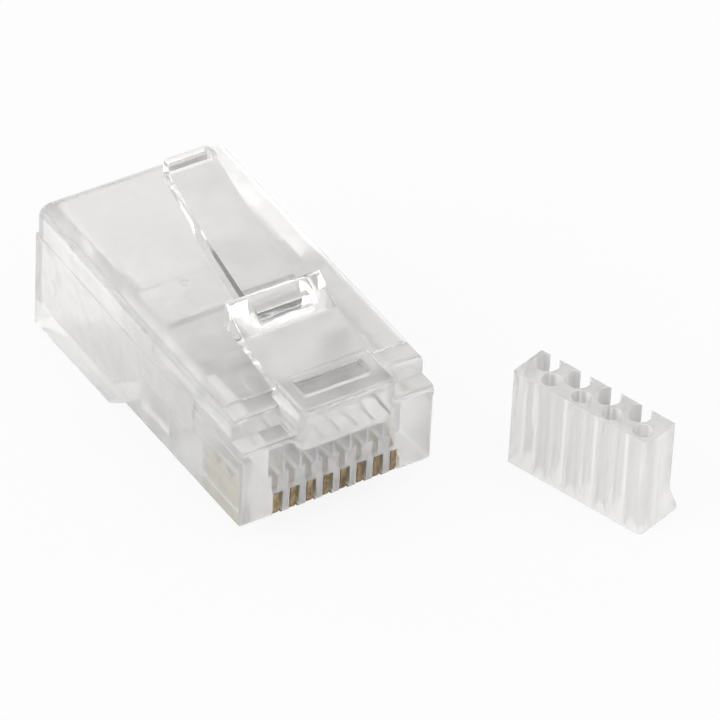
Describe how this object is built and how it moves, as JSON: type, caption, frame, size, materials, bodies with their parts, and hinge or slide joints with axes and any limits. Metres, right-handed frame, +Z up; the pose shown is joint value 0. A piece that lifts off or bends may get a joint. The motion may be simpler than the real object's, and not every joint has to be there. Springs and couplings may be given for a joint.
{
  "type": "rj45 modular plug",
  "caption": "Clear modular network plug with a springy latch, gold contact blades, a funnelled cable entry and a separate load bar standing beside it.",
  "frame": {"origin": "centre of the flat under the cable end, on which the plug rests", "axes": "+X across the width, +Y from the mating face towards the cable end, +Z up to the latch side"},
  "size_m": [0.0216, 0.0305, 0.0131],
  "materials": {
    "clear_polycarbonate": "clear, gloss, injection moulded",
    "gold_plated_bronze": "gold flash over nickel on phosphor bronze"
  },
  "bodies": {
    "plug": {"housing": "clear_polycarbonate", "contact_1": "gold_plated_bronze", "contact_2": "gold_plated_bronze", "contact_3": "gold_plated_bronze", "contact_4": "gold_plated_bronze", "contact_5": "gold_plated_bronze", "contact_6": "gold_plated_bronze", "contact_7": "gold_plated_bronze", "contact_8": "gold_plated_bronze", "load_bar": "clear_polycarbonate"},
    "latch": {"latch": "clear_polycarbonate"}
  },
  "joints": [
    {"name": "latch_hinge", "type": "hinge", "parent": "plug", "child": "latch", "pos_m": [0, -0.0153, 0.00822], "axis": [-1, 0, 0], "range_deg": [0, 11], "stiffness_Nm_per_rad": 0.5}
  ]
}
